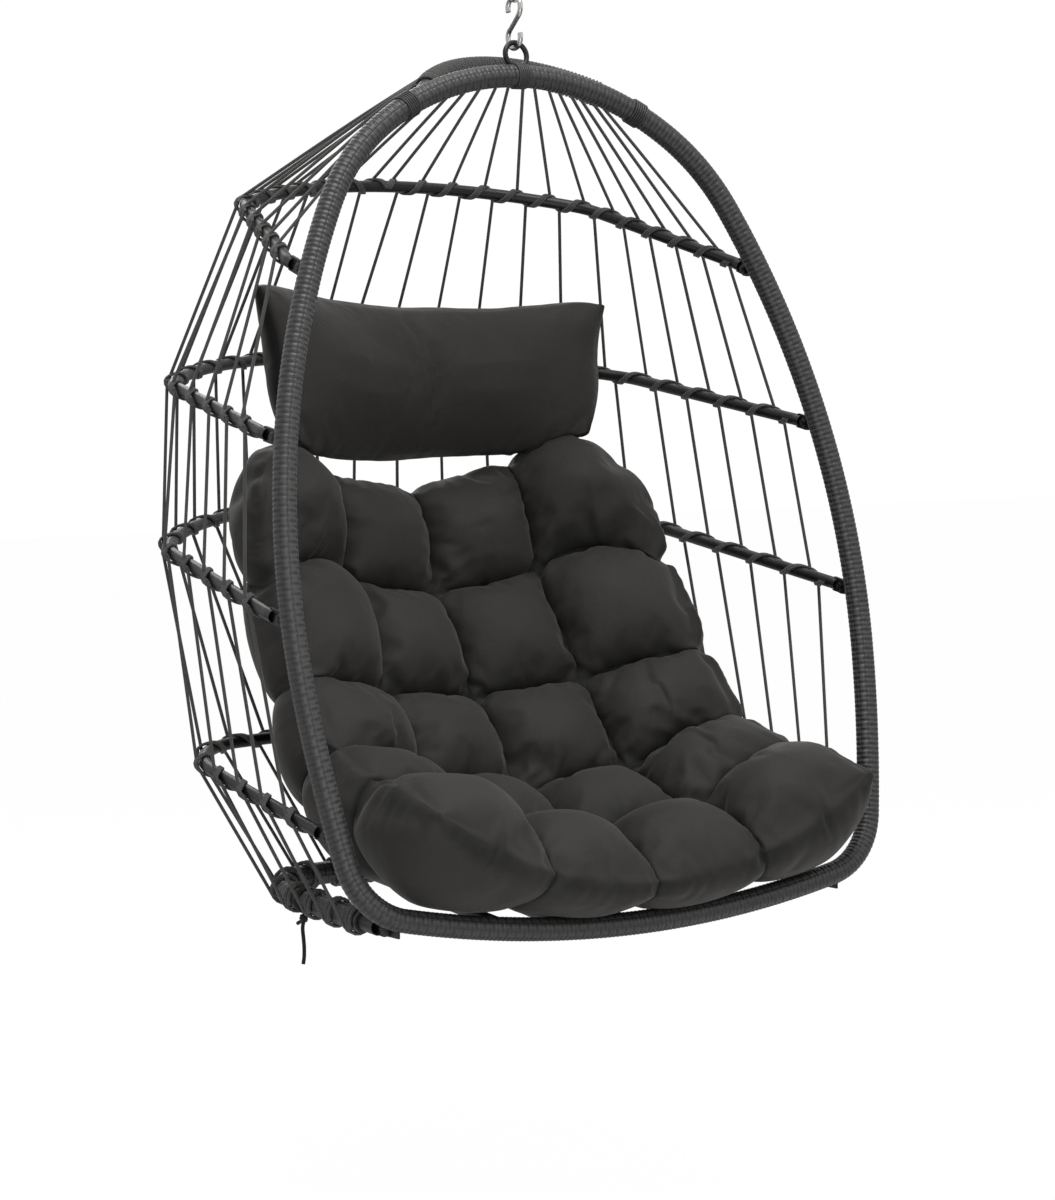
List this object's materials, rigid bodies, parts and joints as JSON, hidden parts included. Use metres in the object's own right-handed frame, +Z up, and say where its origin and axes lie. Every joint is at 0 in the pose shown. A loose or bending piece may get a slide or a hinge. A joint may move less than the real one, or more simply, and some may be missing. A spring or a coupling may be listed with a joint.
{
  "type": "hanging egg chair",
  "caption": "Hanging egg chair with a wrapped ring frame, rope-netted folding hoops, tufted seat cushion, head pillow and a ceiling hanging kit.",
  "frame": {"origin": "middle of the ceiling plate's top face, at the centre of the four anchors", "axes": "+Z up into the ceiling, -Y towards the chair's open front, +X to the chair's left as a sitter faces, which is the viewer's right"},
  "size_m": [0.9126, 0.7897, 1.6611],
  "materials": {
    "zinc_steel": "brushed zinc-plated steel",
    "bright_steel": "polished stainless steel",
    "black_steel": "satin black powder coat",
    "flat_weave": "satin grey flat weave",
    "net_rope": "matte grey twisted rope",
    "cushion_cloth": "matte charcoal woven cloth",
    "tie_ribbon": "matte black ribbon"
  },
  "bodies": {
    "ceiling_mount": {"ceiling_plate": "zinc_steel", "ceiling_hook": "bright_steel", "anchor_sleeves": "bright_steel", "anchor_bolts": "bright_steel", "anchor_washers": "zinc_steel", "anchor_nuts": "zinc_steel"},
    "upper_carabiner": {"upper_carabiner": "zinc_steel"},
    "upper_gate": {"upper_gate": "zinc_steel", "upper_gate_pin": "bright_steel"},
    "screw_sleeve": {"screw_sleeve": "zinc_steel"},
    "swivel_top": {"swivel_top_eye": "bright_steel", "swivel_pin": "bright_steel"},
    "swivel_bottom": {"swivel_bottom_eye": "bright_steel"},
    "lower_carabiner": {"lower_carabiner": "zinc_steel"},
    "lower_gate": {"lower_gate": "zinc_steel", "lower_gate_pin": "bright_steel"},
    "s_hook": {"s_hook": "bright_steel"},
    "link_1": {"chain_link_1": "bright_steel"},
    "link_2": {"chain_link_2": "bright_steel"},
    "link_3": {"chain_link_3": "bright_steel"},
    "link_4": {"chain_link_4": "bright_steel"},
    "link_5": {"chain_link_5": "bright_steel"},
    "chair": {"hanging_eye": "black_steel", "eye_strip": "flat_weave", "ring_frame": "black_steel", "ring_lugs": "black_steel", "ring_wrap": "flat_weave", "top_arch": "black_steel", "arch_wrap": "flat_weave", "arch_lashings": "flat_weave", "hoop_1": "black_steel", "hoop_2": "black_steel", "hoop_3": "black_steel", "hoop_4": "black_steel", "base_rail": "black_steel", "base_rail_wrap": "flat_weave", "floor_bars": "black_steel", "hoop_bolts": "bright_steel", "hoop_nuts": "bright_steel", "ropes_arch_to_1": "net_rope", "ropes_1_to_2": "net_rope", "ropes_2_to_3": "net_rope", "ropes_3_to_4": "net_rope", "ropes_4_to_base": "net_rope", "hitches_arch": "net_rope", "hitches_1": "net_rope", "hitches_2": "net_rope", "hitches_3": "net_rope", "hitches_4": "net_rope", "hitches_base": "net_rope", "seat_cushion": "cushion_cloth", "head_pillow": "cushion_cloth", "cushion_tie": "tie_ribbon", "tie_tail_long": "tie_ribbon", "tie_tail_short": "tie_ribbon"}
  },
  "joints": [
    {"name": "upper_carabiner_swing", "type": "hinge", "parent": "ceiling_mount", "child": "upper_carabiner", "pos_m": [0, 0, -0.057], "axis": [1, 0, 0], "range_deg": [-25, 25]},
    {"name": "upper_gate_open", "type": "hinge", "parent": "upper_carabiner", "child": "upper_gate", "pos_m": [0, 0.01115, -0.0684], "axis": [-1, 0, 0], "range_deg": [0, 22], "stiffness_Nm_per_rad": 0.05, "springref_deg": -11.46},
    {"name": "screw_sleeve_turn", "type": "hinge", "parent": "upper_gate", "child": "screw_sleeve", "pos_m": [0, 0.01115, -0.0684], "axis": [0, 0.0598, -0.9982], "continuous": true},
    {"name": "swivel_swing", "type": "hinge", "parent": "upper_carabiner", "child": "swivel_top", "pos_m": [0, 0, -0.13035], "axis": [0, 1, 0], "range_deg": [-20, 20]},
    {"name": "swivel_turn", "type": "hinge", "parent": "swivel_top", "child": "swivel_bottom", "pos_m": [0, 0, -0.1677], "axis": [0, 0, 1], "continuous": true},
    {"name": "lower_carabiner_swing", "type": "hinge", "parent": "swivel_bottom", "child": "lower_carabiner", "pos_m": [0, 0, -0.2127], "axis": [1, 0, 0], "range_deg": [-20, 20]},
    {"name": "lower_gate_open", "type": "hinge", "parent": "lower_carabiner", "child": "lower_gate", "pos_m": [0, 0.01292, -0.26162], "axis": [1, 0, 0], "range_deg": [0, 16], "stiffness_Nm_per_rad": 0.05, "springref_deg": -11.46},
    {"name": "link_1_swing", "type": "hinge", "parent": "lower_carabiner", "child": "link_1", "pos_m": [0, 0, -0.28805], "axis": [0, 1, 0], "range_deg": [-15, 15]},
    {"name": "link_2_swing", "type": "hinge", "parent": "link_1", "child": "link_2", "pos_m": [0, 0, -0.3054], "axis": [1, 0, 0], "range_deg": [-12, 12]},
    {"name": "link_3_swing", "type": "hinge", "parent": "link_2", "child": "link_3", "pos_m": [0, 0, -0.32425], "axis": [0, 1, 0], "range_deg": [-12, 12]},
    {"name": "link_4_swing", "type": "hinge", "parent": "link_3", "child": "link_4", "pos_m": [0, 0, -0.3431], "axis": [1, 0, 0], "range_deg": [-12, 12]},
    {"name": "link_5_swing", "type": "hinge", "parent": "link_4", "child": "link_5", "pos_m": [0, 0, -0.36195], "axis": [0, 1, 0], "range_deg": [-12, 12]},
    {"name": "s_hook_swing", "type": "hinge", "parent": "link_5", "child": "s_hook", "pos_m": [0, 0, -0.3808], "axis": [1, 0, 0], "range_deg": [-12, 12]},
    {"name": "chair_rock", "type": "hinge", "parent": "s_hook", "child": "chair", "pos_m": [0, 0, -0.434], "axis": [1, 0, 0], "range_deg": [-10, 10]}
  ]
}
